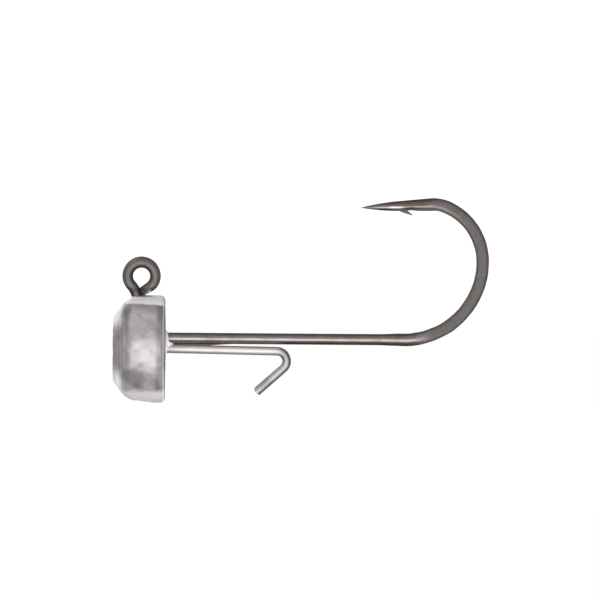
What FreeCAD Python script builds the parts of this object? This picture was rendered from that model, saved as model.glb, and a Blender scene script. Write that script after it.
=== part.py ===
import FreeCAD, Part

import math
import os

import Sketcher

# Jig head: a cast lead head, a forged hook and a bait-keeper wire, cast together.
# Millimetres. The origin is the centre of the line eye. +X runs from the nose along the
# shank to the bend, +Z points up through the eye, and the object is symmetric about Y = 0.

# Lengths, radii and diameters
LENGTHS = {
    # Line eye, and the neck that joins it to the leg
    "eye_wire_diameter": 1.08,
    "eye_ring_radius": 1.385,
    "eye_end_length": 1.20,
    "eye_land_depth": 0.02,
    "eye_seam": 0.03,
    "neck_radius": 2.05,
    # Leg and shank
    "shank_diameter": 1.12,
    "leg_length": 2.20,
    "leg_bend_radius": 1.60,
    "shank_length": 22.67,
    "swell_length": 2.40,
    # Forged bend
    "bend_diameter": 1.30,
    "bend_thickness": 0.90,
    "bend_lower_radius": 7.85,
    "bend_upper_radius": 5.88,
    "shoulder_radius": 3.00,
    "flat_run_in": 3.20,
    "flat_run_out": 2.20,
    # Point and barb
    "point_length": 7.16,
    "point_taper_length": 3.00,
    "point_taper_radius": 0.515,
    "point_ogive_radius": 23.0,
    "point_tip_radius": 0.02,
    "barb_tip_along": 2.05,
    "barb_tip_height": 1.03,
    "barb_notch_along": 2.61,
    "barb_front_along": 3.58,
    "barb_root_height": 0.40,
    "barb_width": 0.46,
    # Lead head
    "head_drop": 7.30,
    "head_back_along": 2.42,
    "head_length": 5.24,
    "nose_radius": 3.10,
    "bevel_length": 1.55,
    "bevel_rim_radius": 5.05,
    "bevel_arc_radius": 5.20,
    "side_arc_radius": 12.0,
    "head_radius": 5.38,
    "rim_length": 0.45,
    "rim_arc_radius": 0.46,
    "back_face_radius": 5.08,
    "boss_drop": 6.54,
    "boss_radius": 1.40,
    "boss_height": 0.30,
    "boss_root": 0.30,
    "eye_pad_drop": 1.90,
    "eye_pad_along": 0.10,
    "eye_pad_radius": 1.15,
    "eye_pad_height": 0.70,
    # Bait keeper
    "keeper_diameter": 0.87,
    "keeper_gap": 0.07,
    "keeper_arm_length": 11.20,
    "keeper_bend_radius": 0.98,
    "keeper_leg_length": 3.68,
    "keeper_root_length": 2.20,
    "keeper_root_radius": 1.00,
    "keeper_root_tail": 0.60,
}

# Angles in degrees
ANGLES = {
    "eye_ring_turn": 278.0,
    "neck_turn": 44.0,
    "leg_bend_turn": 90.0,
    "bend_lower_turn": 90.0,
    "bend_upper_turn": 70.0,
    "shoulder_turn": 23.0,
    "keeper_tilt": 0.9,
    "keeper_bend_turn": 137.6,
    "keeper_root_turn": 50.0,
}

# How far the blocks that cut the forged flats reach beyond the wire
CUTTER_REACH = 1.5

# Sketcher's numbers for the origin and the two axes of a sketch
ORIGIN, ORIGIN_POINT, H_AXIS, V_AXIS = -1, 1, -1, -2
START, END, CENTRE = 1, 2, 3

doc = FreeCAD.newDocument("JigHead")


class Dim:
    """A dimension: its value now, and the expression that keeps it bound to the sheet."""

    def __init__(self, value, text):
        self.value = value
        self.text = text

    def __neg__(self):
        return Dim(-self.value, f"-{self.text}")

    def __add__(self, other):
        return Dim(self.value + other.value, f"({self.text} + {other.text})")

    def __sub__(self, other):
        return Dim(self.value - other.value, f"({self.text} - {other.text})")

    def __mul__(self, other):
        return Dim(self.value * other.value, f"({self.text} * {other.text})")

    def __truediv__(self, other):
        return Dim(self.value / other.value, f"({self.text} / {other.text})")


def number(value):
    return Dim(value, repr(value))


def length(value):
    return Dim(value, f"{value} mm")


def angle(value):
    return Dim(value, f"{value} deg")


def size(alias):
    """A driving dimension, read from its cell."""
    unit = "mm" if alias in LENGTHS else "deg"
    return Dim(float(sheet.get(alias)), f"(Sizes.{alias} * 1 {unit})")


def half(dim):
    return dim / number(2)


def make_sheet():
    made = doc.addObject("Spreadsheet::Sheet", "Sizes")
    cells = {**LENGTHS, **ANGLES}
    for row, (alias, value) in enumerate(cells.items(), start=1):
        made.set(f"A{row}", alias)
        made.set(f"B{row}", str(value))
        made.setAlias(f"B{row}", alias)
    doc.recompute()
    return made


# ---- Sketches -------------------------------------------------------------------------


def new_sketch(body, name, role, offset, turned=None):
    """A sketch on one of the body's origin planes.

    offset = {"x": dim, ...} moves it, and turned = (axis, angle) turns it about that axis.
    """
    planes = {feature.Role: feature for feature in body.Origin.OriginFeatures}
    sketch = body.newObject("Sketcher::SketchObject", name)
    sketch.AttachmentSupport = [(planes[role], "")]
    sketch.MapMode = "FlatFace"
    for axis, dim in offset.items():
        sketch.setExpression(f"AttachmentOffset.Base.{axis}", dim.text)
    if turned:
        about, turn = turned
        rotation = FreeCAD.Rotation(about, turn.value)
        sketch.AttachmentOffset = FreeCAD.Placement(FreeCAD.Vector(), rotation)
        sketch.setExpression("AttachmentOffset.Rotation.Angle", turn.text)
    return sketch


def bind(sketch, constraint, dim):
    index = sketch.addConstraint(constraint)
    sketch.setExpression(f"Constraints[{index}]", dim.text)


def bind_point(sketch, geometry, point, x, y):
    """Fixes a point at (x, y); None puts it on the axis where that coordinate is nought."""
    for kind, axis, dim in (("DistanceX", V_AXIS, x), ("DistanceY", H_AXIS, y)):
        if dim is None:
            sketch.addConstraint(Sketcher.Constraint("PointOnObject", geometry, point, axis))
        else:
            at = Sketcher.Constraint(
                kind, ORIGIN, ORIGIN_POINT, geometry, point, dim.value
            )
            bind(sketch, at, dim)


def arc_between(centre, radius, start_angle, end_angle):
    circle = Part.Circle(centre, FreeCAD.Vector(0, 0, 1), radius)
    return Part.ArcOfCircle(circle, start_angle, end_angle)


def bulged_edge(start, end, radius):
    """The arc from start to end that turns left, as a counter-clockwise outline bulges."""
    chord = end - start
    to_left = FreeCAD.Vector(-chord.y, chord.x, 0).normalize()
    inset = math.sqrt(radius**2 - (chord.Length / 2) ** 2)
    centre = (start + end) / 2 + to_left * inset
    first = math.atan2(start.y - centre.y, start.x - centre.x)
    last = math.atan2(end.y - centre.y, end.x - centre.x)
    return arc_between(centre, radius, first, last)


def outline(sketch, corners, bulges=None):
    """A closed outline through corners, each (x, y). bulges[i] is the radius after corner i."""
    bulges = bulges or {}
    points = [
        FreeCAD.Vector(x.value if x else 0, y.value if y else 0, 0) for x, y in corners
    ]
    edges = []
    for i, start in enumerate(points):
        end = points[(i + 1) % len(points)]
        if i in bulges:
            edge = bulged_edge(start, end, bulges[i].value)
        else:
            edge = Part.LineSegment(start, end)
        edges.append(sketch.addGeometry(edge, False))
    for i, edge in enumerate(edges):
        after = edges[(i + 1) % len(edges)]
        sketch.addConstraint(Sketcher.Constraint("Coincident", edge, END, after, START))
    for i, (x, y) in enumerate(corners):
        bind_point(sketch, edges[i], START, x, y)
    for i, radius in bulges.items():
        bind(sketch, Sketcher.Constraint("Radius", edges[i], radius.value), radius)


def wire_line(sketch, start, heading, runs):
    """A wire's centreline: straight runs and arcs, each tangent to the one before.

    A run is (length,) for a straight one or (radius, turn) for an arc, which turns left
    where turn is positive. Returns the geometry number of each run.
    """
    at, made, left_by = start, [], None
    for run in runs:
        ahead = FreeCAD.Vector(math.cos(heading), math.sin(heading), 0)
        if len(run) == 1:
            end = at + ahead * run[0].value
            edge = sketch.addGeometry(Part.LineSegment(at, end), False)
            enter, leave = START, END
            size_it = Sketcher.Constraint("Distance", edge, run[0].value)
        else:
            radius, turn = run[0].value, math.radians(run[1].value)
            side = math.copysign(1, turn)
            centre = at + FreeCAD.Vector(-ahead.y, ahead.x, 0) * radius * side
            first = heading - side * math.pi / 2
            span = sorted((first, first + turn))
            edge = sketch.addGeometry(arc_between(centre, radius, *span), False)
            enter, leave = (START, END) if turn > 0 else (END, START)
            size_it = Sketcher.Constraint("Radius", edge, radius)
            heading += turn
            outward = FreeCAD.Vector(math.cos(first + turn), math.sin(first + turn), 0)
            end = centre + outward * radius
        if made:
            join = Sketcher.Constraint("Tangent", made[-1], left_by, edge, enter)
            sketch.addConstraint(join)
        bind(sketch, size_it, run[0])
        if len(run) == 2:
            span_it = Sketcher.Constraint("Angle", edge, abs(turn))
            sweep = run[1] if turn > 0 else -run[1]
            bind(sketch, span_it, sweep)
        at, left_by = end, leave
        made.append(edge)
    return made


def measure(sketch, name, kind, geometry, point):
    """A reference dimension from the origin to a point, for other features to follow."""
    index = sketch.addConstraint(
        Sketcher.Constraint(kind, ORIGIN, ORIGIN_POINT, geometry, point, 1.0)
    )
    sketch.setDriving(index, False)
    sketch.renameConstraint(index, name)


def measured(sketch, name):
    return Dim(sketch.getDatum(name).Value, f"{sketch.Name}.Constraints.{name}")


# ---- Features -------------------------------------------------------------------------


def section(body, name, role, offset, diameter, turned=None):
    """The round section of a wire, centred where offset puts the sketch."""
    sketch = new_sketch(body, name, role, offset, turned)
    circle = Part.Circle(FreeCAD.Vector(0, 0, 0), FreeCAD.Vector(0, 0, 1), diameter.value / 2)
    edge = sketch.addGeometry(circle, False)
    sketch.addConstraint(
        Sketcher.Constraint("Coincident", edge, CENTRE, ORIGIN, ORIGIN_POINT)
    )
    bind(sketch, Sketcher.Constraint("Diameter", edge, diameter.value), diameter)
    return sketch


def pipe(body, name, profile, line, edges):
    feature = body.newObject("PartDesign::AdditivePipe", name)
    feature.Profile = profile
    feature.Spine = (line, [f"Edge{edge + 1}" for edge in edges])
    doc.recompute()
    return feature


def revolve(body, name, sketch):
    feature = body.newObject("PartDesign::Revolution", name)
    feature.Profile = sketch
    feature.ReferenceAxis = (sketch, ["H_Axis"])
    feature.Angle = 360.0
    doc.recompute()
    return feature


def cut_through(body, name, sketch, side, reversed_way=False):
    """A pocket right through, which has to take metal away."""
    before = body.Shape.Volume
    feature = body.newObject("PartDesign::Pocket", name)
    feature.Profile = sketch
    feature.Type = "ThroughAll"
    feature.SideType = side
    feature.Reversed = reversed_way
    doc.recompute()
    if not body.Shape.Volume < before:
        raise RuntimeError(f"{name} cuts nothing")
    return feature


def pad(body, name, sketch, depth, side, reversed_way=False):
    feature = body.newObject("PartDesign::Pad", name)
    feature.Profile = sketch
    feature.setExpression("Length", depth.text)
    feature.SideType = side
    feature.Reversed = reversed_way
    doc.recompute()
    return feature


# ---- Hook -----------------------------------------------------------------------------


def hook_line(body):
    """The hook's centreline, from the cut end beside the eye to the tip of the point."""
    sketch = new_sketch(body, "HookLine", "XZ_Plane", {})
    runs = [
        (size("eye_end_length"),),
        (size("eye_ring_radius"), size("eye_ring_turn")),
        (size("neck_radius"), -size("neck_turn")),
        (size("leg_length"),),
        (size("leg_bend_radius"), size("leg_bend_turn")),
        (size("shank_length"),),
        (size("swell_length"),),
        (size("bend_lower_radius"), size("bend_lower_turn")),
        (size("bend_upper_radius"), size("bend_upper_turn")),
        (size("shoulder_radius"), size("shoulder_turn")),
        (size("point_length"),),
    ]
    # The leg points straight down, so the heading at the cut end follows from the turns
    heading = math.radians(ANGLES["neck_turn"] - ANGLES["eye_ring_turn"] - 90)
    ahead = FreeCAD.Vector(math.cos(heading), math.sin(heading), 0)
    to_right = FreeCAD.Vector(ahead.y, -ahead.x, 0)
    start = to_right * LENGTHS["eye_ring_radius"] - ahead * LENGTHS["eye_end_length"]
    made = wire_line(sketch, start, heading, runs)
    names = (
        "end", "ring", "neck", "leg", "leg_bend", "shank", "swell",
        "lower", "upper", "shoulder", "point",
    )
    line = dict(zip(names, made, strict=True))
    sketch.addConstraint(
        Sketcher.Constraint("Coincident", line["ring"], CENTRE, ORIGIN, ORIGIN_POINT)
    )
    sketch.addConstraint(Sketcher.Constraint("Vertical", line["leg"]))
    measure(sketch, "end_along", "DistanceX", line["end"], START)
    measure(sketch, "end_rise", "DistanceY", line["end"], START)
    measure(sketch, "neck_centre_along", "DistanceX", line["neck"], CENTRE)
    measure(sketch, "neck_centre_rise", "DistanceY", line["neck"], CENTRE)
    measure(sketch, "leg_along", "DistanceX", line["leg"], START)
    measure(sketch, "leg_rise", "DistanceY", line["leg"], START)
    measure(sketch, "shank_rise", "DistanceY", line["shank"], END)
    measure(sketch, "swell_along", "DistanceX", line["swell"], START)
    measure(sketch, "bend_along", "DistanceX", line["swell"], END)
    measure(sketch, "bend_rise", "DistanceY", line["lower"], CENTRE)
    measure(sketch, "upper_end_along", "DistanceX", line["upper"], END)
    measure(sketch, "shoulder_along", "DistanceX", line["point"], START)
    measure(sketch, "shoulder_rise", "DistanceY", line["point"], START)
    doc.recompute()
    return sketch, line


def point_sketch(body, name, line):
    """A sketch whose X axis lies along the point arm, from the shoulder to the tip.

    Its Y axis points into the gape.
    """
    offset = {
        "x": measured(line, "shoulder_along"),
        "y": measured(line, "shoulder_rise"),
    }
    turns = ("leg_bend_turn", "bend_lower_turn", "bend_upper_turn", "shoulder_turn")
    heading = -angle(90)
    for turn in turns:
        heading = heading + size(turn)
    out_of_sketch = FreeCAD.Vector(0, 0, 1)
    return new_sketch(body, name, "XZ_Plane", offset, (out_of_sketch, heading))


def cut_flats(body, name, line, ramp_from, flat_from, edge_half, upper):
    """Planes both sides of the bend down to its forged thickness, running out at one end."""
    rise = measured(line, "bend_rise")
    sketch = new_sketch(body, f"{name}Outline", "XY_Plane", {"z": rise})
    flat_half = half(size("bend_thickness"))
    beyond = length(CUTTER_REACH)
    far = measured(line, "bend_along") + size("bend_lower_radius") + beyond
    outer = flat_half + beyond
    side = [
        (ramp_from, edge_half),
        (flat_from, flat_half),
        (far, flat_half),
        (far, outer),
        (ramp_from, outer),
    ]
    outline(sketch, side)
    outline(sketch, [(x, -y) for x, y in side])
    cut_through(body, name, sketch, "One side", reversed_way=upper)


def make_hook():
    body = doc.addObject("PartDesign::Body", "Hook")
    body.Label = "hook"
    line, edge = hook_line(body)

    # The wire starts at its cut end, which is pinched to lie round the neck
    at_end = {"x": measured(line, "end_along"), "z": measured(line, "end_rise")}
    across = FreeCAD.Vector(0, 1, 0)
    end_lean = size("eye_ring_turn") - size("neck_turn") - angle(180)
    eye_wire = size("eye_wire_diameter")
    end_section = section(
        body, "EndSection", "XY_Plane", at_end, eye_wire, (across, end_lean)
    )
    pipe(body, "End", end_section, line, [edge["end"]])
    round_neck = {
        "x": measured(line, "neck_centre_along"),
        "y": measured(line, "neck_centre_rise"),
    }
    pinch_radius = size("neck_radius") + half(eye_wire) + size("eye_seam")
    pinch = section(
        body, "PinchOutline", "XZ_Plane", round_neck, pinch_radius * number(2)
    )
    cut_through(body, "Pinch", pinch, "Symmetric")

    at_neck = {"x": measured(line, "leg_along"), "z": measured(line, "leg_rise")}
    eye_section = section(body, "EyeSection", "XY_Plane", at_neck, eye_wire)
    pipe(body, "Eye", eye_section, line, [edge["neck"], edge["ring"]])

    shank_section = section(body, "ShankSection", "XY_Plane", at_neck, size("shank_diameter"))
    pipe(body, "Shank", shank_section, line, [edge["leg"], edge["leg_bend"], edge["shank"]])

    # The wire swells ahead of the bend, where the forging starts
    at_swell = {"x": measured(line, "swell_along"), "y": measured(line, "shank_rise")}
    swell = new_sketch(body, "SwellOutline", "XZ_Plane", at_swell)
    outline(swell, [
        (None, None),
        (size("swell_length"), None),
        (size("swell_length"), half(size("bend_diameter"))),
        (None, half(size("shank_diameter"))),
    ])
    revolve(body, "Swell", swell)

    # A YZ plane's sketch has Y across, Z up and X out of it
    at_bend = {"y": measured(line, "shank_rise"), "z": measured(line, "bend_along")}
    bend_section = section(body, "BendSection", "YZ_Plane", at_bend, size("bend_diameter"))
    pipe(body, "Bend", bend_section, line, [edge["lower"], edge["upper"], edge["shoulder"]])

    needle = point_sketch(body, "PointOutline", line)
    outline(needle, [
        (None, None),
        (size("point_length"), None),
        (size("point_length"), size("point_tip_radius")),
        (size("point_taper_length"), size("point_taper_radius")),
        (None, half(size("bend_diameter"))),
    ], {2: size("point_ogive_radius")})
    revolve(body, "Point", needle)

    bend_at = measured(line, "bend_along")
    upper_at = measured(line, "upper_end_along")
    cut_flats(
        body, "LowerFlats", line, bend_at, bend_at + size("flat_run_in"),
        half(size("bend_diameter")), upper=False,
    )
    cut_flats(
        body, "UpperFlats", line, upper_at - size("flat_run_out"), upper_at,
        half(size("bend_diameter")), upper=True,
    )

    barb = point_sketch(body, "BarbOutline", line)
    outline(barb, [
        (size("barb_tip_along"), size("barb_tip_height")),
        (size("barb_notch_along"), size("barb_root_height")),
        (size("barb_front_along"), size("barb_root_height")),
    ])
    pad(body, "Barb", barb, size("barb_width"), "Symmetric")

    # The forming pin leaves a narrow round land on the inside of the eye
    land_radius = (
        size("eye_ring_radius") - half(size("eye_wire_diameter")) + size("eye_land_depth")
    )
    land = section(body, "EyeLandOutline", "XZ_Plane", {}, land_radius * number(2))
    cut_through(body, "EyeLand", land, "Symmetric")
    return body, line


# ---- Bait keeper ----------------------------------------------------------------------


def make_keeper(hook_centreline):
    """The keeper wire. Its own origin is where its axis leaves the back of the head."""
    body = doc.addObject("PartDesign::Body", "Keeper")
    body.Label = "bait_keeper"
    keeper_section = section(body, "KeeperSection", "YZ_Plane", {}, size("keeper_diameter"))

    arm = new_sketch(body, "KeeperLine", "XZ_Plane", {})
    arm_edges = wire_line(arm, FreeCAD.Vector(0, 0, 0), 0.0, [
        (size("keeper_arm_length"),),
        (size("keeper_bend_radius"), -size("keeper_bend_turn")),
        (size("keeper_leg_length"),),
    ])
    arm.addConstraint(
        Sketcher.Constraint("Coincident", arm_edges[0], START, ORIGIN, ORIGIN_POINT)
    )
    arm.addConstraint(Sketcher.Constraint("Horizontal", arm_edges[0]))
    pipe(body, "KeeperArm", keeper_section, arm, arm_edges)

    root_section = section(body, "RootSection", "YZ_Plane", {}, size("keeper_diameter"))
    root = new_sketch(body, "RootLine", "XZ_Plane", {})
    root_edges = wire_line(root, FreeCAD.Vector(0, 0, 0), math.pi, [
        (size("keeper_root_length"),),
        (size("keeper_root_radius"), size("keeper_root_turn")),
        (size("keeper_root_tail"),),
    ])
    root.addConstraint(
        Sketcher.Constraint("Coincident", root_edges[0], START, ORIGIN, ORIGIN_POINT)
    )
    root.addConstraint(Sketcher.Constraint("Horizontal", root_edges[0]))
    pipe(body, "KeeperRoot", root_section, root, root_edges)

    across = FreeCAD.Vector(0, 1, 0)
    body.Placement = FreeCAD.Placement(
        FreeCAD.Vector(), FreeCAD.Rotation(across, ANGLES["keeper_tilt"])
    )
    rise = (
        measured(hook_centreline, "shank_rise")
        - half(size("shank_diameter"))
        - size("keeper_gap")
        - half(size("keeper_diameter"))
    )
    body.setExpression("Placement.Base.x", size("head_back_along").text)
    body.setExpression("Placement.Base.z", rise.text)
    body.setExpression("Placement.Rotation.Angle", size("keeper_tilt").text)
    doc.recompute()
    return body


# ---- Lead head ------------------------------------------------------------------------


def make_casting():
    """The head as if cast with no wires in it."""
    body = doc.addObject("PartDesign::Body", "Casting")
    at_back = {"x": size("head_back_along"), "y": -size("head_drop")}
    puck = new_sketch(body, "PuckOutline", "XZ_Plane", at_back)
    nose_at = -size("head_length")
    outline(puck, [
        (nose_at, None),
        (None, None),
        (None, size("back_face_radius")),
        (-size("rim_length"), size("head_radius")),
        (nose_at + size("bevel_length"), size("bevel_rim_radius")),
        (nose_at, size("nose_radius")),
    ], {
        2: size("rim_arc_radius"),
        3: size("side_arc_radius"),
        4: size("bevel_arc_radius"),
    })
    revolve(body, "Puck", puck)

    # A low dome on the back face, round both wires
    at_boss = {"x": size("head_back_along"), "y": -size("boss_drop")}
    dome = new_sketch(body, "BossOutline", "XZ_Plane", at_boss)
    radius, height = size("boss_radius"), size("boss_height")
    dome_radius = (radius * radius + height * height) / (number(2) * height)
    outline(dome, [
        (-size("boss_root"), None),
        (height, None),
        (None, radius),
        (-size("boss_root"), radius),
    ], {1: dome_radius})
    revolve(body, "Boss", dome)

    # The flat pad that the eye stands on
    at_pad = {"x": size("eye_pad_along"), "z": -size("eye_pad_drop")}
    foot = section(
        body, "EyePadOutline", "XY_Plane", at_pad, size("eye_pad_radius") * number(2)
    )
    pad(body, "EyePad", foot, size("eye_pad_height"), "One side", reversed_way=True)
    return body


def cut_from(name, base, tool):
    feature = doc.addObject("Part::Cut", name)
    feature.Base = base
    feature.Tool = tool
    doc.recompute()
    return feature


def check_document():
    for item in doc.Objects:
        if "Invalid" in item.State or "Error" in item.State:
            raise RuntimeError(f"{item.Name} is {item.State}")


def export(pieces):
    os.makedirs("parts", exist_ok=True)
    for piece in pieces:
        shape = piece.Shape
        if shape.isNull() or not shape.isValid() or len(shape.Solids) != 1:
            raise RuntimeError(f"{piece.Label} is not one valid solid")
        shape.exportStep(f"parts/{piece.Label}.step")
        print(piece.Label, "volume", round(shape.Volume, 3), "mm3")


sheet = make_sheet()
hook, centreline = make_hook()
keeper = make_keeper(centreline)
around_hook = cut_from("CastingRoundHook", make_casting(), hook)
lead_head = cut_from("CastingRoundWires", around_hook, keeper)
lead_head.Label = "lead_head"
doc.recompute()
check_document()
export([lead_head, hook, keeper])
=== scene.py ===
import math

import bpy
import numpy as np
from mathutils import Matrix, Vector


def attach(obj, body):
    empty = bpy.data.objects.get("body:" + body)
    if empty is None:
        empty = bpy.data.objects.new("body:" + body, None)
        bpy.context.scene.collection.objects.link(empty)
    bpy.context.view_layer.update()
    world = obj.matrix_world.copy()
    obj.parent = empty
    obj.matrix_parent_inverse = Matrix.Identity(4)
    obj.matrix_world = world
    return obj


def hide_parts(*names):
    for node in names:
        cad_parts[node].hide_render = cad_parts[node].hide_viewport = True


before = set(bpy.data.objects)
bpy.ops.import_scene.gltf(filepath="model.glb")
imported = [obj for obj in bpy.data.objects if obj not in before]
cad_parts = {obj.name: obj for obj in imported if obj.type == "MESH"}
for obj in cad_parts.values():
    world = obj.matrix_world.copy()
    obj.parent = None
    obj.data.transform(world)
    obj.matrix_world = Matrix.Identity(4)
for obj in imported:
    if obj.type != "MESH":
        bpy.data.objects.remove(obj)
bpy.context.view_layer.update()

MM = 0.001

# ---- Sizes, in millimetres, as in the CAD model ---------------------------------------------------

# The hook: heights of axes, and radii of the wire and of its centreline
SHANK_AXIS = -6.186
EYE_WIRE = 0.54
RING_RADIUS = 1.385
RING_TURN = 278.0
NECK_RADIUS = 2.05
NECK_TURN = -44.0
SHANK = 0.56
BEND = 0.65
BEND_HALF_THICKNESS = 0.45
FLAT_RUN_OUT = 2.2
POINT_LENGTH = 7.16
TAPER_LENGTH = 3.0
TAPER_RADIUS = 0.515
OGIVE_RADIUS = 23.0
TIP_RADIUS = 0.02
# The barb, by distance along the point
BARB_FRONT = 3.75
BARB_FLUSH = 3.32
BARB_NOTCH = 2.50
BARB_TIP = 2.05

KEEPER = 0.435
KEEPER_GAP = 0.07
KEEPER_AXIS = -7.251
KEEPER_TILT = math.radians(0.9)

# The head: a turned outline from the nose over the bevel, the side and the rim to the back
HEAD_AXIS = -7.30
HEAD_BACK = 2.42
HEAD_NOSE = HEAD_BACK - 5.24
HEAD_RADIUS = 5.38
NOSE_RADIUS = 3.10
BEVEL_LENGTH = 1.55
BEVEL_RADIUS = 5.05
RIM_LENGTH = 0.45
BACK_RADIUS = 5.08
BEVEL_ARC = 5.20
SIDE_ARC = 12.0
RIM_ARC = 0.46
PAD_LEVEL = -1.90
BOSS_AXIS = -6.54
BOSS_RADIUS = 1.40
BOSS_HEIGHT = 0.30

# Each run of the hook's centreline: a length, or a radius and a turn in degrees
HOOK_RUNS = {
    "end": (1.20,),
    "ring": (RING_RADIUS, RING_TURN),
    "neck": (NECK_RADIUS, NECK_TURN),
    "leg": (2.20,),
    "leg_bend": (1.60, 90.0),
    "shank": (22.67,),
    "swell": (2.40,),
    "lower": (7.85, 90.0),
    "upper": (5.88, 70.0),
    "shoulder": (3.0, 23.0),
    "point": (POINT_LENGTH,),
}
KEEPER_RUNS = {"arm": (11.20,), "bend": (0.98, -137.6), "leg": (3.68,)}

# How finely each mesh is cut: the step along it, and the columns round it
HOOK_STEP, HOOK_COLUMNS = 0.07, 80
KEEPER_STEP, KEEPER_COLUMNS = 0.06, 56
HEAD_STEP, HEAD_COLUMNS = 0.064, 420
BARB_COLUMNS = 24
FIN_COLUMNS = 20


def smoothstep(low, high, x):
    """0 at low and beyond, 1 at high and beyond, and a smooth turn between."""
    t = np.clip((x - low) / (high - low), 0.0, 1.0)
    return t * t * (3 - 2 * t)


def soft_min(a, b, k):
    """The smaller of a and b, blended where they differ by less than k."""
    h = np.clip(0.5 + 0.5 * (b - a) / k, 0.0, 1.0)
    return b * (1 - h) + a * h - k * h * (1 - h)


def waves(points, wavelength, seed, count=28):
    """Smooth seeded unevenness of about that wavelength: sines in all directions, near -1 to 1."""
    rng = np.random.default_rng(seed)
    ways = rng.normal(size=(count, 3))
    ways /= np.linalg.norm(ways, axis=1)[:, None]
    pace = 2 * math.pi / (wavelength * rng.uniform(0.7, 1.5, count))
    start = rng.uniform(0, 2 * math.pi, count)
    return np.sin((points @ ways.T) * pace + start).sum(1) / math.sqrt(count) * 0.8


# ---- Meshes ---------------------------------------------------------------------------------------


def mesh_piece(name, points, faces, wire=None, **amounts):
    """A smooth-shaded object from points in millimetres.

    wire holds each point's place on its wire. The other values, 0 to 1 at each point, say how much it has of
    each real mark, painted shade and painted highlight, and the materials read them by name.
    """
    mesh = bpy.data.meshes.new(name)
    mesh.from_pydata((np.asarray(points) * MM).tolist(), [], faces)
    mesh.shade_smooth()
    if wire is not None:
        attribute = mesh.attributes.new("wire", "FLOAT_VECTOR", "POINT")
        attribute.data.foreach_set("vector", np.asarray(wire, np.float32).ravel())
    for amount, values in amounts.items():
        attribute = mesh.attributes.new(amount, "FLOAT", "POINT")
        attribute.data.foreach_set("value", np.asarray(values, np.float32))
    mesh.update()
    piece = bpy.data.objects.new(name, mesh)
    bpy.context.scene.collection.objects.link(piece)
    return piece


def grid_faces(rows, columns, first=0):
    """Quads of a tube of rings, each ring with that many columns."""
    return [
        (
            first + i * columns + j,
            first + i * columns + (j + 1) % columns,
            first + (i + 1) * columns + (j + 1) % columns,
            first + (i + 1) * columns + j,
        )
        for i in range(rows - 1)
        for j in range(columns)
    ]


class Line:
    """A wire's centreline in the plane Y = 0, sampled, with the distance where each run starts."""

    def __init__(self, runs, start, heading, step):
        at, along = np.array(start, float), 0.0
        places, headings, distances = [], [], []
        self.start = {}
        for name, run in runs.items():
            self.start[name] = along
            if len(run) == 1:
                span, bend = run[0], 0.0
            else:
                bend = math.copysign(1 / run[0], run[1])
                span = run[0] * math.radians(abs(run[1]))
            count = max(2, round(span / step))
            for s in np.linspace(0, span, count, endpoint=False):
                places.append(at + self.advance(heading, bend, s))
                headings.append(heading + bend * s)
                distances.append(along + s)
            at = at + self.advance(heading, bend, span)
            heading += bend * span
            along += span
        self.length = along
        places.append(at)
        headings.append(heading)
        distances.append(along)
        self.at, self.heading, self.s = np.array(places), np.array(headings), np.array(distances)

    @staticmethod
    def advance(heading, bend, s):
        """How far along X and Z the run has gone after the distance s."""
        if bend == 0:
            return np.array([math.cos(heading), math.sin(heading)]) * s
        turned = heading + bend * s
        return np.array([math.sin(turned) - math.sin(heading), math.cos(heading) - math.cos(turned)]) / bend


def tube(line, in_plane, across, columns):
    """Rings along the line. in_plane and across give each ring's section from its angles."""
    around = np.linspace(0, 2 * math.pi, columns, endpoint=False)
    points, wire = [], []
    for s, heading, at in zip(line.s, line.heading, line.at):
        left = np.array([-math.sin(heading), math.cos(heading)])
        u, v = in_plane(s, around), across(s, around)
        xz = at + u[:, None] * left
        points.append(np.column_stack([xz[:, 0], v, xz[:, 1]]))
        wire.append(np.column_stack([np.full(columns, s), u, v]))
    return np.array(points), np.array(wire)


def closed_tube(points, wire):
    """Flattens rings to points and faces, with both ends closed."""
    rows, columns = points.shape[:2]
    faces = grid_faces(rows, columns)
    faces.append(tuple(range(columns))[::-1])
    last = (rows - 1) * columns
    faces.append(tuple(range(last, last + columns)))
    return points.reshape(-1, 3), wire.reshape(-1, 3), faces


def joined(shells):
    """Several shells as one set of points, wire places and faces."""
    points, wire, faces, first = [], [], [], 0
    for shell_points, shell_wire, shell_faces in shells:
        points.append(shell_points)
        wire.append(shell_wire)
        faces += [tuple(first + k for k in face) for face in shell_faces]
        first += len(shell_points)
    return np.vstack(points), np.vstack(wire), faces


# ---- Hook -----------------------------------------------------------------------------------------


def hook_line():
    """The hook's centreline from the cut end of the eye, placed so that the ring's middle is the origin."""
    heading = math.radians(-NECK_TURN - RING_TURN - 90)
    ahead = np.array([math.cos(heading), math.sin(heading)])
    start = np.array([ahead[1], -ahead[0]]) * RING_RADIUS - ahead * HOOK_RUNS["end"][0]
    return Line(HOOK_RUNS, start, heading, HOOK_STEP)


def point_radius(along):
    """The point's radius at that distance from the shoulder: a short cone, then an ogive to the tip."""
    cone = BEND + (TAPER_RADIUS - BEND) * along / TAPER_LENGTH
    chord = math.hypot(POINT_LENGTH - TAPER_LENGTH, TAPER_RADIUS - TIP_RADIUS)
    middle = ((POINT_LENGTH + TAPER_LENGTH) / 2, (TAPER_RADIUS + TIP_RADIUS) / 2)
    inset = math.sqrt(OGIVE_RADIUS**2 - (chord / 2) ** 2)
    lean = math.atan2(TAPER_RADIUS - TIP_RADIUS, POINT_LENGTH - TAPER_LENGTH)
    centre = (middle[0] - math.sin(lean) * inset, middle[1] - math.cos(lean) * inset)
    ogive = centre[1] + np.sqrt(np.maximum(OGIVE_RADIUS**2 - (along - centre[0]) ** 2, 0))
    return np.where(along < TAPER_LENGTH, cone, ogive)


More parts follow.
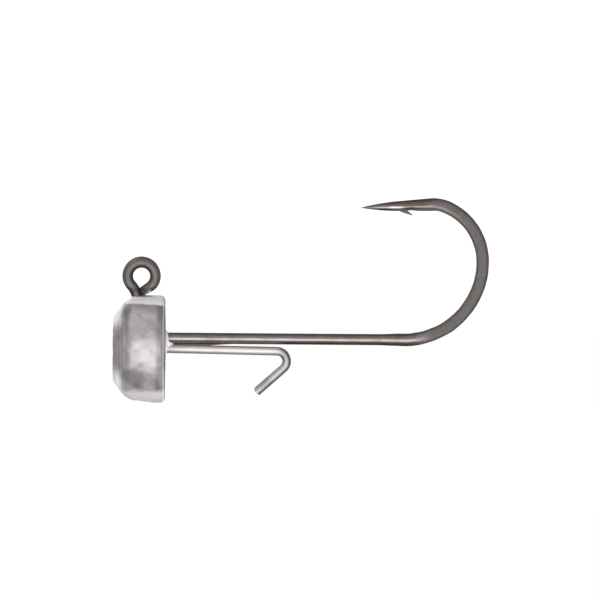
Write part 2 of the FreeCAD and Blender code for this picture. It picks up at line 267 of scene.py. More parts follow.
def make_hook():
    """The hook's centreline, its wire from the eye to the tip, and its barb."""
    line = hook_line()
    s_shank, s_swell, s_lower = (line.start[k] for k in ("leg", "swell", "lower"))
    s_shoulder, s_point = line.start["shoulder"], line.start["point"]
    # The wire thickened a little where it bends round the top of the eye
    turn_to_top = math.radians(144)
    s_top = line.start["ring"] + RING_RADIUS * turn_to_top

    def radius(s):
        r = EYE_WIRE + (SHANK - EYE_WIRE) * smoothstep(s_shank - 0.3, s_shank + 0.3, s)
        r = r + 0.03 * np.exp(-(((s - s_top) / 1.1) ** 2))
        r = r + (BEND - SHANK) * smoothstep(s_swell - 0.4, s_lower + 0.3, s)
        return np.where(s < s_point, r, np.minimum(r, point_radius(s - s_point)))

    def forged(s):
        """How far the wire is flattened, 0 to 1."""
        run_in = smoothstep(s_lower - 0.4, s_lower + 3.4, s)
        return run_in * (1 - smoothstep(s_shoulder - 0.1, s_shoulder + FLAT_RUN_OUT, s))

    def in_plane(s, around):
        height = np.cos(around)
        # The cutters pinched the underside of the end
        pinch = 0.32 * (1 - smoothstep(0.0, HOOK_RUNS["end"][0] + 0.6, s))
        height = np.where(height < 0, height * (1 - pinch), height)
        # The round of the point stands off its middle towards the gape
        lean = 0.16 * smoothstep(s_shoulder, s_point, s) * (1 - smoothstep(s_point + 2, line.length, s))
        return radius(s) * (height + lean * np.sin(around) ** 2)

    def across(s, around):
        raw = radius(s) * np.sin(around)
        flat = forged(s)
        half = (radius(s) + 0.2) * (1 - flat) + BEND_HALF_THICKNESS * flat
        return np.sign(raw) * np.maximum(soft_min(np.abs(raw), half, 0.06 + 0.18 * flat), 0)

    points, wire = tube(line, in_plane, across, HOOK_COLUMNS)
    flat = points.reshape(-1, 3)
    places = wire.reshape(-1, 3)
    s = places[:, 0]

    # Hammer and tumbling unevenness: a little on the forged bend, hardly any on the drawn wire
    hammered = smoothstep(s_swell, s_lower, s) * (1 - smoothstep(s_point - 1, s_point + 1, s))
    centre = np.repeat(points.mean(1), HOOK_COLUMNS, axis=0)
    outward = flat - centre
    outward /= np.maximum(np.linalg.norm(outward, axis=1), 1e-6)[:, None]
    uneven = waves(flat, 1.7, 11) * (0.002 + 0.010 * hammered) + waves(flat, 0.5, 12) * 0.003 * hammered
    uneven *= smoothstep(line.length, line.length - 3.0, s)
    flat = flat + outward * (uneven - 0.012 * hammered)[:, None]

    # The cut behind the barb leaves a shallow scoop in the underside of the point
    along = s - s_point
    scoop = np.exp(-(((along - BARB_TIP - 0.10) / 0.42) ** 2)) * smoothstep(0.15, 0.45, places[:, 1])
    inward = centre - flat
    flat = flat + inward * (0.13 * scoop)[:, None]

    # The cut end stays outside the neck, and is squeezed against it
    neck_index = np.searchsorted(line.s, line.start["neck"])
    heading = line.heading[neck_index]
    neck_centre = line.at[neck_index] + np.array([math.sin(heading), -math.cos(heading)]) * NECK_RADIUS
    by_neck = s < line.start["ring"] + 0.7
    away = flat[by_neck][:, [0, 2]] - neck_centre
    reach = np.linalg.norm(away, axis=1)
    kept = np.maximum(reach, NECK_RADIUS + EYE_WIRE)
    squeezed = flat[by_neck]
    squeezed[:, [0, 2]] = neck_centre + away / reach[:, None] * kept[:, None]
    flat[by_neck] = squeezed
    return line, (flat, places, closed_tube(points, wire)[2]), make_barb(line)


def make_barb(line):
    """The sliver raised from the underside of the point: a curved keel that ends in a fine tip."""
    at = line.at[np.searchsorted(line.s, line.start["point"])]
    heading = line.heading[-1]
    ahead = np.array([math.cos(heading), math.sin(heading)])
    down = np.array([-ahead[1], ahead[0]])
    # From the front, where it is flush, back to the notch and then to the tip
    front = np.linspace(BARB_FRONT, BARB_NOTCH + 0.06, 16)
    back = np.linspace(BARB_NOTCH, BARB_TIP, 14)
    around = np.linspace(0, 2 * math.pi, BARB_COLUMNS, endpoint=False)
    rings = []
    for along in np.concatenate([front, back]):
        gone = (BARB_FLUSH - along) / (BARB_FLUSH - BARB_TIP)
        low = 0.51 + 0.51 * max(gone, 0) ** 0.85 - 0.25 * max(-gone, 0)
        high = 0.30 if along > BARB_NOTCH else 0.53 + 0.93 * (BARB_NOTCH - along)
        width = 0.23 - 0.17 * smoothstep(0.30, 1.0, gone)
        u = (low + high) / 2 + (low - high) / 2 * np.cos(around)
        v = width * np.sin(around) * (0.8 - 0.2 * np.cos(around))
        xz = at + along * ahead + u[:, None] * down
        rings.append(np.column_stack([xz[:, 0], v, xz[:, 1]]))
    rings = np.array(rings)
    wire = np.zeros_like(rings)
    wire[..., 0] = line.start["point"] + 3.0
    wire[..., 1] = rings[..., 2] - at[1]
    wire[..., 2] = rings[..., 1]
    return closed_tube(rings, wire)


def hook_marks(line, points, wire, barb_count):
    """How the wire's surface has changed along it, and where shade and highlight are painted on it, each 0
    to 1 at each point.
    """
    start, s, inner = line.start, wire[:, 0], wire[:, 1]
    at_eye = 1 - smoothstep(start["leg"] - 1.0, start["leg"], s)
    forged = smoothstep(start["lower"] + 0.5, start["lower"] + 3.4, s)
    forged = forged * (1 - smoothstep(start["shoulder"] + 0.1, start["point"] + 0.4, s))
    # A polished line along the inside of the upper bend, where the forging dies stopped
    edge = np.exp(-(((inner - 0.25) / 0.11) ** 2)) * smoothstep(start["upper"] + 4.0, start["shoulder"], s)
    dull = np.maximum(0.72 * at_eye, forged * (1 - 0.55 * edge))
    # The point is browner where the plating was heated, and the brown also darkens its highlight as painted
    # shade; a painted highlight makes it brightest in front of the barb
    under = smoothstep(-0.10, 0.10, inner)
    along = s - start["point"]
    brown_and_shade = smoothstep(start["shoulder"], start["point"], s) * (1 - smoothstep(0.25, 0.5, inner))
    brown_and_shade = brown_and_shade * (1 - smoothstep(3.9 - 1.2 * under, 4.8 - 1.2 * under, along)) * (0.45 + 0.55 * under)
    painted_point_highlight = 0.8 * under * smoothstep(2.6, 3.3, along) * (1 - smoothstep(3.9, 4.8, along))
    # Its underside up to the barb, and its tip, have lost their shine
    worn_under = smoothstep(-0.3, 0.3, along) * (1 - smoothstep(3.0, 3.8, along))
    worn_under = 0.55 * smoothstep(0.30, 0.42, inner) * worn_under
    dull = np.maximum(dull, np.maximum(worn_under, 0.6 * smoothstep(5.2, 6.6, along)))
    # The shear left bare metal under the cut end
    sheared = (1 - smoothstep(1.0, 1.2, s)) * smoothstep(0.20, 0.30, -inner)
    # Painted shade inside the eye, at its foot and in the throat where the two ends of the ring meet
    painted_shade = at_eye * smoothstep(0.12, 0.45, inner) * 0.75
    painted_shade = np.maximum(painted_shade, at_eye * 0.8 * smoothstep(0.95, 1.40, -points[:, 2]) * (1 - sheared))
    throat = np.hypot(points[:, 0] - 0.10, points[:, 2] + 1.45)
    painted_shade = np.maximum(painted_shade, at_eye * (1 - smoothstep(0.25, 0.60, throat)) * (1 - sheared))
    is_barb = np.arange(len(s)) >= len(s) - barb_count
    dull[is_barb], brown_and_shade[is_barb], painted_point_highlight[is_barb], painted_shade[is_barb] = 0.8, 0.0, 0.0, 0.1
    return {"dull": dull, "brown_and_shade": brown_and_shade, "painted_point_highlight": painted_point_highlight, "sheared": sheared, "painted_shade": painted_shade}


# ---- Bait keeper ----------------------------------------------------------------------------------


def make_keeper():
    """The keeper's wire outside the lead, from the back of the head to its sheared end."""
    line = Line(KEEPER_RUNS, (HEAD_BACK, KEEPER_AXIS), -KEEPER_TILT, KEEPER_STEP)

    def in_plane(s, around):
        # The outside of the sharp bend thins and its inside gathers
        mid = (line.start["bend"] + line.start["leg"]) / 2
        pinch = 0.03 * np.exp(-(((s - mid) / 1.1) ** 2))
        return KEEPER * (np.cos(around) - pinch * (1 + np.cos(around)) * 0.5)

    def across(s, around):
        return KEEPER * np.sin(around)

    points, wire = tube(line, in_plane, across, KEEPER_COLUMNS)
    flat, places = points.reshape(-1, 3), wire.reshape(-1, 3)

    # Cutters left a roof-shaped end: two facets that meet off centre
    ahead = np.array([math.cos(line.heading[-1]), 0, math.sin(line.heading[-1])])
    left = np.array([-ahead[2], 0, ahead[0]])
    tip = np.array([line.at[-1][0], 0, line.at[-1][1]])
    offset = flat - tip
    u, far = offset @ left + 0.12, offset @ ahead
    limit = np.where(u < 0, -0.02 + 0.55 * u, -0.02 - 0.16 * u)
    over = np.maximum(far - limit, 0) * (places[:, 0] > line.length - 1.0)
    flat = flat - over[:, None] * ahead
    return flat, places, closed_tube(points, wire)[2]


# ---- Lead head ------------------------------------------------------------------------------------


def bulged(start, end, radius, count):
    """Points of the arc from start to end that bulges away from the head's axis."""
    start, end = np.array(start, float), np.array(end, float)
    chord = end - start
    length = np.linalg.norm(chord)
    inward = np.array([chord[1], -chord[0]]) / length
    centre = (start + end) / 2 + inward * math.sqrt(radius**2 - (length / 2) ** 2)
    first, last = start - centre, end - centre
    a, b = math.atan2(first[1], first[0]), math.atan2(last[1], last[0])
    turn = np.linspace(a, b, count, endpoint=False)
    return centre + radius * np.column_stack([np.cos(turn), np.sin(turn)])


def head_profile(step):
    """The turned outline, from the middle of the nose to the middle of the back, edges softened."""
    nose, back = (HEAD_NOSE, NOSE_RADIUS), (HEAD_BACK, BACK_RADIUS)
    edge = (HEAD_NOSE + BEVEL_LENGTH, BEVEL_RADIUS)
    rim = (HEAD_BACK - RIM_LENGTH, HEAD_RADIUS)
    parts = [
        np.column_stack([np.full(80, HEAD_NOSE), np.linspace(0, NOSE_RADIUS, 80, endpoint=False)]),
        bulged(nose, edge, BEVEL_ARC, 80),
        bulged(edge, rim, SIDE_ARC, 80),
        bulged(rim, back, RIM_ARC, 40),
        np.column_stack([np.full(120, HEAD_BACK), np.linspace(BACK_RADIUS, 0, 120)]),
    ]
    rough = np.vstack(parts)
    gone = np.concatenate([[0], np.cumsum(np.linalg.norm(np.diff(rough, axis=0), axis=1))])
    fine = np.linspace(0, gone[-1], round(gone[-1] / step) + 1)
    even = np.column_stack([np.interp(fine, gone, rough[:, k]) for k in (0, 1)])
    reach = round(0.30 / step)
    kernel = np.exp(-0.5 * (np.arange(-reach, reach + 1) * step / 0.085) ** 2)
    kernel /= kernel.sum()
    # Past each end the outline goes on as its mirror image across the axis
    before = even[reach:0:-1] * [1, -1]
    after = even[-2 : -reach - 2 : -1] * [1, -1]
    padded = np.vstack([before, even, after])
    soft = np.column_stack([np.convolve(padded[:, k], kernel, "valid") for k in (0, 1)])
    soft[0, 1] = soft[-1, 1] = 0
    # Wear has rounded the edge between the bevel and the side further
    worn = soft.copy()
    for _ in range(60):
        worn[1:-1] += 0.5 * ((worn[:-2] + worn[2:]) / 2 - worn[1:-1])
    near = np.exp(-((np.hypot(soft[:, 0] - edge[0], soft[:, 1] - edge[1]) / 0.55) ** 4))
    return soft + (worn - soft) * near[:, None]


# Darker patches: the middle's X and Z, the half width and height, and the depth of the colour. Some are
# oxide blotches; others are painted shade, such as the third, which dims the broad highlight in the middle,
# and the last, a painted shadow under the eye
STAINS_AND_SHADE = (
    (-0.60, -10.15, 1.5, 1.10, 0.55),
    (1.10, -10.25, 1.5, 0.75, 0.24),
    (0.35, -8.10, 1.7, 1.30, 0.12),
    (-1.55, -3.75, 0.8, 1.0, 0.55),
    (0.35, -3.9, 2.2, 0.75, 0.12),
    (1.2, -4.8, 1.0, 1.2, 0.28),
    (-2.05, -7.0, 0.7, 3.4, 0.05),
    (-0.60, -5.10, 2.2, 1.6, 0.36),
    (1.00, -4.90, 1.6, 1.1, 0.26),
    (-0.45, -2.22, 0.75, 0.20, 0.90),
)

# How far along X the fin of lead fills the gap between the two wires, and where it ends. The fin is coloured
# black as painted shadow in that gap
FIN_FILLS = 5.9
FIN_END = 9.6


def make_head():
    """The casting: the turned outline with its wear, parting line, pad, boss and web, and the fin that
    stands in for the shadow between the wires.
    """
    profile = head_profile(HEAD_STEP)
    rows, columns = len(profile), HEAD_COLUMNS
    t = np.linspace(0, 2 * math.pi, columns, endpoint=False)
    # Columns crowd together at the parting plane, where the flash line needs them
    around = t - 0.36 * np.sin(2 * t)
    x = np.repeat(profile[:, 0], columns)
    r = np.repeat(profile[:, 1], columns)
    a = np.tile(around, rows)
    points = np.column_stack([x, r * np.sin(a), r * np.cos(a)])

    tangent = np.gradient(profile, axis=0)
    tangent /= np.linalg.norm(tangent, axis=1)[:, None]
    out_x = np.repeat(-tangent[:, 1], columns)
    out_r = np.repeat(tangent[:, 0], columns)
    normal = np.column_stack([out_x, out_r * np.sin(a), out_r * np.cos(a)])
    y, z = points[:, 1], points[:, 2]

    # Shrinkage and mould wear, always inwards so that the size holds
    lift = 0.022 * waves(points, 3.4, 3) + 0.010 * waves(points, 1.3, 4) + 0.003 * waves(points, 0.45, 5)
    lift = lift - 0.045
    rounded = smoothstep(0.25, 0.75, np.abs(out_r)) * smoothstep(0.25, 0.75, np.abs(out_x))
    lift = lift - 0.02 * rounded * (1 + waves(points, 0.9, 6))

    # Turning marks of the mould on the bevel: rings round the axis
    from_nose = x - HEAD_NOSE
    on_bevel = smoothstep(0.02, 0.15, from_nose) * (1 - smoothstep(1.2, 1.7, from_nose))
    lift = lift + on_bevel * 0.012 * np.sin(2 * math.pi * x / 0.36 + 0.8 * waves(points, 4.0, 7))

    # The parting line runs round in the hook's plane
    flash = np.exp(-((y / 0.055) ** 2)) * (0.65 + 0.35 * waves(points, 1.1, 8))
    lift = lift + 0.040 * np.clip(flash, 0, 1.1)

    # Where the pouring gate was nipped off, under the head
    gate = np.exp(-(((x - 0.2) / 0.85) ** 2 + (y / 0.75) ** 2) ** 2) * (z < 0)
    lift = lift - gate * (0.05 + 0.012 * waves(points, 0.35, 9))
    points = points + normal * np.minimum(lift, -0.006)[:, None]

    # The flat pad under the eye
    top = points[:, 2] > 3.5
    pad = (1 - smoothstep(0.85, 1.35, np.hypot(points[:, 0] - 0.10, points[:, 1]))) * top
    points[:, 2] += pad * np.maximum(PAD_LEVEL - HEAD_AXIS - 0.03 - points[:, 2], 0)

    # On the back: the boss round the wires, a collar up each wire, and lead drawn into the groove
    world_z = points[:, 2] + HEAD_AXIS
    on_back = smoothstep(0.9, 0.99, out_x)
    y = points[:, 1]
    from_boss = np.hypot(y, world_z - BOSS_AXIS)
    dome = (BOSS_RADIUS**2 + BOSS_HEIGHT**2) / (2 * BOSS_HEIGHT)
    boss = np.sqrt(np.maximum(dome**2 - from_boss**2, 0)) - (dome - BOSS_HEIGHT)
    boss = -soft_min(-boss, np.zeros_like(boss), 0.12)
    from_shank = np.hypot(y, world_z - SHANK_AXIS) - SHANK
    from_keeper = np.hypot(y, world_z - KEEPER_AXIS) - KEEPER
    near = np.maximum(soft_min(from_shank, from_keeper, 0.10), 0)
    collar = 0.13 * np.exp(-near / 0.10)
    groove = SHANK_AXIS - SHANK - 0.03
    web = 0.62 * np.clip(1.1 - np.abs(y) / 0.50, 0, 1) ** 0.5
    web = web * np.clip(1.1 - np.abs(world_z - groove) / 0.46, 0, 1)
    rise = boss + np.maximum(collar, web)
    rise = rise * (1 + 0.06 * waves(points, 0.6, 10))
    points[:, 0] += on_back * rise

    points[:, 2] += HEAD_AXIS
    faces = grid_faces(rows, columns)
    # The two poles are single points
    keep = np.ones(rows * columns, bool)
    keep[1:columns] = False
    keep[(rows - 1) * columns + 1 :] = False
    number = np.cumsum(keep) - 1
    number[:columns] = 0
    number[(rows - 1) * columns :] = number[(rows - 1) * columns]
    merged = []
    for face in faces:
        corners = []
        for k in face:
            n = int(number[k])
            if n not in corners:
                corners.append(n)
        merged.append(tuple(corners))
    return joined([(points[keep], points[keep], merged), make_gap_shadow_fin()])


def make_gap_shadow_fin():
    """The thin fin of lead that ran along between the two wires, black past the back of the head as painted
    shadow in the gap.
    """
    around = np.linspace(0, 2 * math.pi, FIN_COLUMNS, endpoint=False)
    rings = []
    for x in np.linspace(HEAD_BACK - 0.3, FIN_END, 80):
        above = SHANK_AXIS - SHANK + 0.05
        gap = KEEPER_GAP + math.tan(KEEPER_TILT) * (x - HEAD_BACK) + 0.10
        # It fills the gap at first, and then clings to the shank as it runs out
        left = min(1.0, (FIN_END - x) / (FIN_END - FIN_FILLS))
        high = gap * left / 2 + 0.004
        wide = 0.05 + 0.11 * left
        z = above - high + high * np.cos(around)
        rings.append(np.column_stack([np.full(FIN_COLUMNS, x), wide * np.sin(around), z]))
    rings = np.array(rings)
    return closed_tube(rings, rings)


def head_marks(points):
    """Where the lead is darkened by oxide stains and painted shade, and where highlight is painted on it,
    each 0 to 1.
    """
    x, y, z = points.T
    wander = 0.25 * waves(points, 1.6, 21) + 0.12 * waves(points, 0.5, 22)
    stain = np.zeros(len(points))
    for at_x, at_z, half_x, half_z, depth in STAINS_AND_SHADE:
        reach = np.hypot((x - at_x) / half_x, (z - at_z) / half_z) + wander
        stain = np.maximum(stain, depth * (1 - smoothstep(0.35, 1.15, reach)))
    # Painted reflection: a dark band round the side next to the rim
    from_axis = np.hypot(y, z - HEAD_AXIS)
    on_side = smoothstep(4.9, 5.15, from_axis)
    rim = np.exp(-(((x - 1.90 + 0.14 * smoothstep(9.2, 10.4, -z)) / 0.38) ** 2)) * on_side
    rim = rim * smoothstep(-11.9, -11.2, z + 0.1 * wander) * (1 - smoothstep(-3.1, -2.8, z))
    stain = np.maximum(stain, rim * (0.58 + 0.3 * wander))
    # Painted shadow round the foot of the eye, on the pad under it
    painted_shadow_at_eye = smoothstep(-2.22, -2.10, z) * (1 - smoothstep(1.05, 1.50, np.hypot(x - 0.25, y) + 0.3 * wander))
    stain = np.maximum(stain, 0.75 * painted_shadow_at_eye)
    # Painted highlight on the crown, underneath and on the bevel, most on the side with Y below 0 that faces
    # the front light, and round the wires and on the edge of the back
    lit_side = (1 - 0.75 * smoothstep(-0.8, 2.4, y)) * (1 - smoothstep(1.8, 2.0, x) * (1 - on_side))
    crown = smoothstep(-0.14, 0.10, z + 2.80 + 0.05 * x + 0.12 * wander)
    under = 0.42 * smoothstep(11.2, 11.8, -z + 0.2 * wander)
    bevel = 1 - smoothstep(HEAD_NOSE + 0.5, HEAD_NOSE + 1.3, x)
    low, high = smoothstep(8.6, 10.8, -z + 0.6 * wander), smoothstep(-5.5, -3.9, z + 0.6 * wander)
    bevel = 0.8 * bevel * (low + high)
    wires = smoothstep(HEAD_BACK - 0.03, HEAD_BACK + 0.10, x)
    back_edge_highlight = 0.5 * smoothstep(2.14, 2.32, x) * smoothstep(4.90, 5.06, from_axis)
    bare = np.clip(lit_side * (crown + under + bevel) + wires + back_edge_highlight, 0, 1) * (1 - painted_shadow_at_eye)
    # Painted shadow: black on the fin in the groove between the wires
    painted_shade = smoothstep(3.05, 3.35, x)
    return np.maximum(stain * (1 - 0.6 * bare), painted_shade), bare * (1 - painted_shade)


# ---- Materials ------------------------------------------------------------------------------------


class Nodes:
    """Short calls for building one material's nodes."""

    def __init__(self, name):
        self.material = bpy.data.materials.new(name)
        self.material.use_nodes = True
        self.tree = self.material.node_tree
        self.tree.nodes.clear()
        self.shader = self.add("ShaderNodeBsdfPrincipled")
        output = self.add("ShaderNodeOutputMaterial")
        self.link(self.shader.outputs[0], output.inputs["Surface"])

    def add(self, kind, **settings):
        node = self.tree.nodes.new(kind)
        for name, value in settings.items():
            setattr(node, name, value)
        return node

    def link(self, source, target):
        self.tree.links.new(source, target)

    def set(self, **values):
        """Sets the shader's own sockets. An underscore in a name stands for a space."""
        for name, value in values.items():
            self.shader.inputs[name.replace("_", " ")].default_value = value

    def millimetres(self):
        """The place on the object, in millimetres."""
        scale = self.add("ShaderNodeMapping")
        scale.inputs["Scale"].default_value = (1000, 1000, 1000)
        self.link(self.add("ShaderNodeTexCoord").outputs["Object"], scale.inputs["Vector"])
        return scale.outputs[0]

    def on_wire(self, lengthwise):
        """Places on the wire, squeezed lengthwise so that noise comes out as streaks."""
        scale = self.add("ShaderNodeMapping")
        scale.inputs["Scale"].default_value = (lengthwise, 1, 1)
        place = self.add("ShaderNodeAttribute", attribute_name="wire")
        self.link(place.outputs["Vector"], scale.inputs["Vector"])
        return scale.outputs[0]

    def amount(self, name):
        """The value that mesh_piece stored at each point under that name."""
        return self.add("ShaderNodeAttribute", attribute_name=name).outputs["Fac"]

    def noise(self, where, scale, detail=3.0, roughness=0.5, distortion=0.0):
        node = self.add("ShaderNodeTexNoise")
        self.link(where, node.inputs["Vector"])
        node.inputs["Scale"].default_value = scale
        node.inputs["Detail"].default_value = detail
        node.inputs["Roughness"].default_value = roughness
        node.inputs["Distortion"].default_value = distortion
        return node.outputs[0]

    def ramp(self, value, stops):
        """Each stop is a place from 0 to 1 with its grey or its colour."""
        node = self.add("ShaderNodeValToRGB")
        self.link(value, node.inputs[0])
        elements = node.color_ramp.elements
        while len(elements) < len(stops):
            elements.new(0.5)
        for element, (place, colour) in zip(elements, stops):
            element.position = place
            element.color = (*colour, 1.0) if isinstance(colour, tuple) else (colour, colour, colour, 1.0)
        return node.outputs[0]

    def spread(self, value, low, high, to_low, to_high):
        """Maps the range low to high onto to_low to to_high."""
        node = self.add("ShaderNodeMapRange")
        self.link(value, node.inputs["Value"])
        for name, number in (("From Min", low), ("From Max", high), ("To Min", to_low), ("To Max", to_high)):
            node.inputs[name].default_value = number
        return node.outputs[0]

    def mix(self, amount, a, b, blend="MIX"):
        """a where amount is 0 and b where it is 1."""
        node = self.add("ShaderNodeMix", data_type="RGBA", blend_type=blend)
        for socket, value in ((node.inputs["Factor"], amount), (node.inputs[6], a), (node.inputs[7], b)):
            if isinstance(value, (int, float)):
                socket.default_value = value
            elif isinstance(value, tuple):
                socket.default_value = (*value, 1.0)
            else:
                self.link(value, socket)
        return node.outputs[2]

    def math(self, operation, a, b):
        node = self.add("ShaderNodeMath", operation=operation)
        for socket, value in zip(node.inputs, (a, b)):
            if isinstance(value, (int, float)):
                socket.default_value = value
            else:
                self.link(value, socket)
        return node.outputs[0]

    def bump(self, heights):
        """Several (height, depth in millimetres) one on the other."""
        normal = None
        for height, depth in heights:
            node = self.add("ShaderNodeBump")
            node.inputs["Strength"].default_value = 1.0
            node.inputs["Distance"].default_value = depth * MM
            self.link(height, node.inputs["Height"])
            if normal is not None:
                self.link(normal, node.inputs["Normal"])
            normal = node.outputs[0]
        self.link(normal, self.shader.inputs["Normal"])


def lead_material():
    """Bare cast lead: mottled grey, dark with stains and painted shade, and pale with painted highlight."""
    n = Nodes("bare_lead")
    where = n.millimetres()
    broad = n.noise(where, 0.30, 2.0, 0.5, 0.4)
    blotch = n.noise(where, 0.9, 4.0, 0.6, 0.4)
    grain = n.noise(where, 9.0, 4.0, 0.6)
    fine = n.noise(where, 34.0, 2.0, 0.5)
    tone = n.ramp(
        broad, [(0.34, (0.470, 0.440, 0.443)), (0.50, (0.530, 0.500, 0.508)), (0.62, (0.575, 0.543, 0.553))]
    )
    patch = n.ramp(blotch, [(0.32, (0.74, 0.73, 0.71)), (0.46, (0.93, 0.93, 0.93)), (0.62, (1.0, 1.0, 1.0))])
    speck = n.ramp(grain, [(0.25, 0.84), (0.42, 1.0)])
    colour = n.mix(0.8, tone, patch, "MULTIPLY")
    colour = n.mix(0.5, colour, speck, "MULTIPLY")
    # Darkened by oxide stains and by painted shade and shadow
    stain = n.amount("stain")
    colour = n.mix(stain, colour, n.mix(1.0, colour, (0.20, 0.187, 0.176), "MULTIPLY"))
    # Painted highlight: pale, less metallic colour on the crown, underneath, the bevel, the collars and the
    # back edge
    bare = n.amount("bare")
    colour = n.mix(bare, colour, (0.96, 0.94, 0.95))
    n.link(colour, n.shader.inputs["Base Color"])
    n.link(n.spread(blotch, 0.3, 0.7, 0.56, 0.42), n.shader.inputs["Roughness"])
    n.link(n.spread(bare, 0.0, 1.0, 0.7, 0.1), n.shader.inputs["Metallic"])
    n.bump([(blotch, 0.03), (grain, 0.008), (fine, 0.002)])
    return n.material


def hook_material():
    """Dark bronze plating, streaked along the drawn wire and dull where it was forged or heated, with
    painted shade and highlight.
    """
    n = Nodes("dark_bronze_plating")
    streaks = n.noise(n.on_wire(0.04), 9.0, 4.0, 0.6)
    hairs = n.noise(n.on_wire(0.02), 30.0, 2.0, 0.6)
    cloud = n.noise(n.on_wire(0.5), 1.2, 3.0, 0.5)
    mottle = n.noise(n.on_wire(0.5), 5.0, 3.0, 0.6)
    dull = n.amount("dull")
    colour = n.ramp(
        cloud, [(0.34, (0.200, 0.163, 0.148)), (0.50, (0.222, 0.192, 0.183)), (0.66, (0.240, 0.216, 0.216))]
    )
    shade = n.ramp(streaks, [(0.30, 0.80), (0.50, 0.97), (0.68, 1.0)])
    colour = n.mix(0.8, colour, shade, "MULTIPLY")
    colour = n.mix(0.6, colour, n.ramp(mottle, [(0.32, 0.84), (0.60, 1.0)]), "MULTIPLY")
    # Brown tint that also darkens the point's highlight as painted shade, then painted highlight in front of
    # the barb
    colour = n.mix(n.amount("brown_and_shade"), colour, n.mix(1.0, colour, (0.66, 0.62, 0.575), "MULTIPLY"))
    colour = n.mix(n.amount("painted_point_highlight"), colour, n.mix(1.0, colour, (1.7, 1.8, 1.85), "MULTIPLY"))
    hue = n.ramp(cloud, [(0.40, (0.082, 0.076, 0.068)), (0.58, (0.092, 0.074, 0.073))])
    flat = n.mix(0.8, hue, n.ramp(mottle, [(0.34, 0.70), (0.62, 1.0)]), "MULTIPLY")
    colour = n.mix(dull, colour, flat)
    # Painted shade: darker inside the eye, at its foot and in its throat
    colour = n.mix(n.amount("painted_shade"), colour, n.mix(1.0, colour, (0.22, 0.20, 0.20), "MULTIPLY"))
    n.link(n.mix(n.amount("sheared"), colour, (0.80, 0.76, 0.76)), n.shader.inputs["Base Color"])
    smooth = n.spread(cloud, 0.3, 0.7, 0.26, 0.19)
    n.link(n.math("ADD", smooth, n.spread(dull, 0.0, 1.0, 0.0, 0.22)), n.shader.inputs["Roughness"])
    n.link(n.spread(dull, 0.0, 1.0, 1.0, 0.1), n.shader.inputs["Metallic"])
    n.bump([(streaks, 0.0012), (hairs, 0.0003), (mottle, 0.001)])
    return n.material


def keeper_material():
    """Bright drawn stainless wire, darker from the bend on."""
    n = Nodes("bright_stainless")
    streaks = n.noise(n.on_wire(0.03), 12.0, 3.0, 0.6)
    cloud = n.noise(n.on_wire(0.5), 1.5, 2.0, 0.5)
    colour = n.ramp(cloud, [(0.35, (0.62, 0.580, 0.575)), (0.65, (0.68, 0.650, 0.645))])
    shade = n.ramp(streaks, [(0.30, 0.88), (0.50, 0.98), (0.70, 1.0)])
    colour = n.mix(0.7, colour, shade, "MULTIPLY")
    scuffed = n.mix(1.0, colour, n.ramp(cloud, [(0.35, 0.58), (0.65, 0.72)]), "MULTIPLY")
    n.link(n.mix(n.amount("scuffed"), colour, scuffed), n.shader.inputs["Base Color"])
    n.link(n.spread(streaks, 0.3, 0.7, 0.62, 0.52), n.shader.inputs["Roughness"])
    n.set(Metallic=1.0)
    n.bump([(streaks, 0.0008)])
    return n.material


# ---- The object -----------------------------------------------------------------------------------

head_points, _, head_faces = make_head()
stain, bare = head_marks(head_points)
head = mesh_piece("head_casting", head_points, head_faces, stain=stain, bare=bare)
head.data.materials.append(lead_material())
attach(head, "root")
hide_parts("lead_head")

line, *hook_shells = make_hook()
hook_points, hook_wire, hook_faces = joined(hook_shells)
marks = hook_marks(line, hook_points, hook_wire, len(hook_shells[1][0]))
hook = mesh_piece("hook_wire", hook_points, hook_faces, hook_wire, **marks)
hook.data.materials.append(hook_material())
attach(hook, "root")
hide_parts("hook")

keeper_points, keeper_wire, keeper_faces = make_keeper()
bent = KEEPER_RUNS["arm"][0]
# How far each point of the keeper is darkened, from the bend on
scuffed = smoothstep(bent - 0.6, bent + 1.0, keeper_wire[:, 0])
keeper = mesh_piece("keeper_wire", keeper_points, keeper_faces, keeper_wire, scuffed=scuffed)
keeper.data.materials.append(keeper_material())
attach(keeper, "root")
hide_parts("bait_keeper")


# ---- Stage, light and camera ----------------------------------------------------------------------

# How bright the surroundings are by direction: the axis, from and to, and the two brightnesses
FILL = (
    ("Y", -0.95, -0.3, 1.0, 0.5),
    ("Y", -0.35, 0.15, 1.0, 0.55),
    ("Y", 0.45, 0.9, 1.0, 0.25),
    ("X", 0.1, 0.8, 1.0, 0.25),
    ("X", -0.8, -0.1, 0.25, 1.0),
    ("Z", -1.0, -0.5, 0.7, 1.0),
)


def make_floor():
    """A plain pale floor, 4 mm under the head, that gives off light so that it shows white."""
    size, level = 4.0, (HEAD_AXIS - HEAD_RADIUS - 4.0) * MM
    corners = [(-size, -size, level), (size, -size, level), (size, size, level), (-size, size, level)]
    mesh = bpy.data.meshes.new("floor")
    mesh.from_pydata(corners, [], [(0, 1, 2, 3)])
    floor = bpy.data.objects.new("floor", mesh)
    bpy.context.scene.collection.objects.link(floor)
    n = Nodes("pale_floor")
    n.set(Base_Color=(0.30, 0.30, 0.30, 1.0), Roughness=0.9, Specular_IOR_Level=0.0)
    n.set(Emission_Color=(1.0, 1.0, 1.0, 1.0), Emission_Strength=0.93)
    mesh.materials.append(n.material)
    floor.visible_glossy = False
    floor.visible_shadow = False


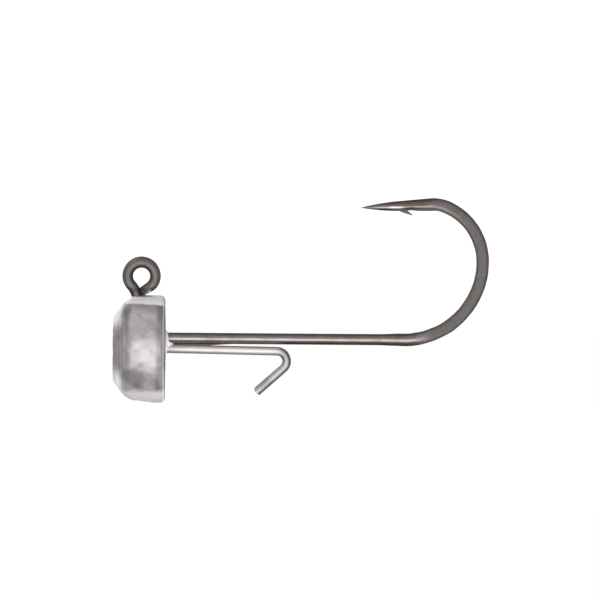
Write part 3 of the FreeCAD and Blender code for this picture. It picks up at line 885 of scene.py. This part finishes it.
def make_world():
    """Plain white to the camera. As light it is strongest in front of the object and weakest behind."""
    world = bpy.data.worlds.new("studio")
    world.use_nodes = True
    nodes, links = world.node_tree.nodes, world.node_tree.links
    nodes.clear()
    seen = nodes.new("ShaderNodeBackground")
    seen.inputs["Strength"].default_value = 1.1
    fill = nodes.new("ShaderNodeBackground")
    for background in (seen, fill):
        background.inputs["Color"].default_value = (1, 1, 1, 1)
    way = nodes.new("ShaderNodeSeparateXYZ")
    links.new(nodes.new("ShaderNodeTexCoord").outputs["Generated"], way.inputs[0])
    product = None
    for axis, low, high, to_low, to_high in FILL:
        part = nodes.new("ShaderNodeMapRange")
        part.interpolation_type = "SMOOTHSTEP"
        for name, number in (("From Min", low), ("From Max", high), ("To Min", to_low), ("To Max", to_high)):
            part.inputs[name].default_value = number
        links.new(way.outputs[axis], part.inputs["Value"])
        if product is None:
            product = part.outputs[0]
        else:
            both = nodes.new("ShaderNodeMath")
            both.operation = "MULTIPLY"
            links.new(product, both.inputs[0])
            links.new(part.outputs[0], both.inputs[1])
            product = both.outputs[0]
    links.new(product, fill.inputs["Strength"])
    ray = nodes.new("ShaderNodeLightPath")
    pick = nodes.new("ShaderNodeMixShader")
    output = nodes.new("ShaderNodeOutputWorld")
    links.new(ray.outputs["Is Camera Ray"], pick.inputs[0])
    links.new(fill.outputs[0], pick.inputs[1])
    links.new(seen.outputs[0], pick.inputs[2])
    links.new(pick.outputs[0], output.inputs["Surface"])
    bpy.context.scene.world = world


def soft_light(name, place, target, width, height, watts):
    """A soft box at place, in millimetres, that faces target."""
    light = bpy.data.lights.new(name, "AREA")
    light.shape = "RECTANGLE"
    light.size, light.size_y = width * MM, height * MM
    light.energy = watts
    box = bpy.data.objects.new(name, light)
    box.location = Vector(place) * MM
    aim = (Vector(target) - Vector(place)).to_track_quat("-Z", "Y")
    box.rotation_mode = "QUATERNION"
    box.rotation_quaternion = aim
    box.visible_camera = False
    bpy.context.scene.collection.objects.link(box)


def make_camera():
    """A long lens square to the hook's plane, rolled a little. Sizes are in millimetres."""
    width, distance, sensor = 60.0, 900.0, 36.0
    aim_x, aim_z = 15.864, -2.285
    roll = math.radians(0.45)
    data = bpy.data.cameras.new("camera")
    data.sensor_width = sensor
    data.lens = sensor * distance / width
    data.clip_start, data.clip_end = 0.05, 20.0
    camera = bpy.data.objects.new("camera", data)
    right = Vector((math.cos(roll), 0, math.sin(roll)))
    up = Vector((-math.sin(roll), 0, math.cos(roll)))
    back = Vector((0, -1, 0))
    place = Vector((aim_x, -distance, aim_z)) * MM
    camera.matrix_world = Matrix.Translation(place) @ Matrix((right, up, back)).transposed().to_4x4()
    bpy.context.scene.collection.objects.link(camera)
    bpy.context.scene.camera = camera


make_floor()
make_world()
middle, eye_foot = (14.0, 0.0, -3.0), (0.0, 0.0, -4.0)
soft_light("front", (4, -240, -72), middle, 340, 190, 0.52)
soft_light("side", (-40, -20, 60), eye_foot, 50, 50, 0.0130)
soft_light("rear", (-80, 240, 60), middle, 220, 160, 0.22)
soft_light("right", (200, 190, 80), middle, 120, 120, 0.036)
make_camera()
bpy.context.scene.view_settings.view_transform = "Standard"
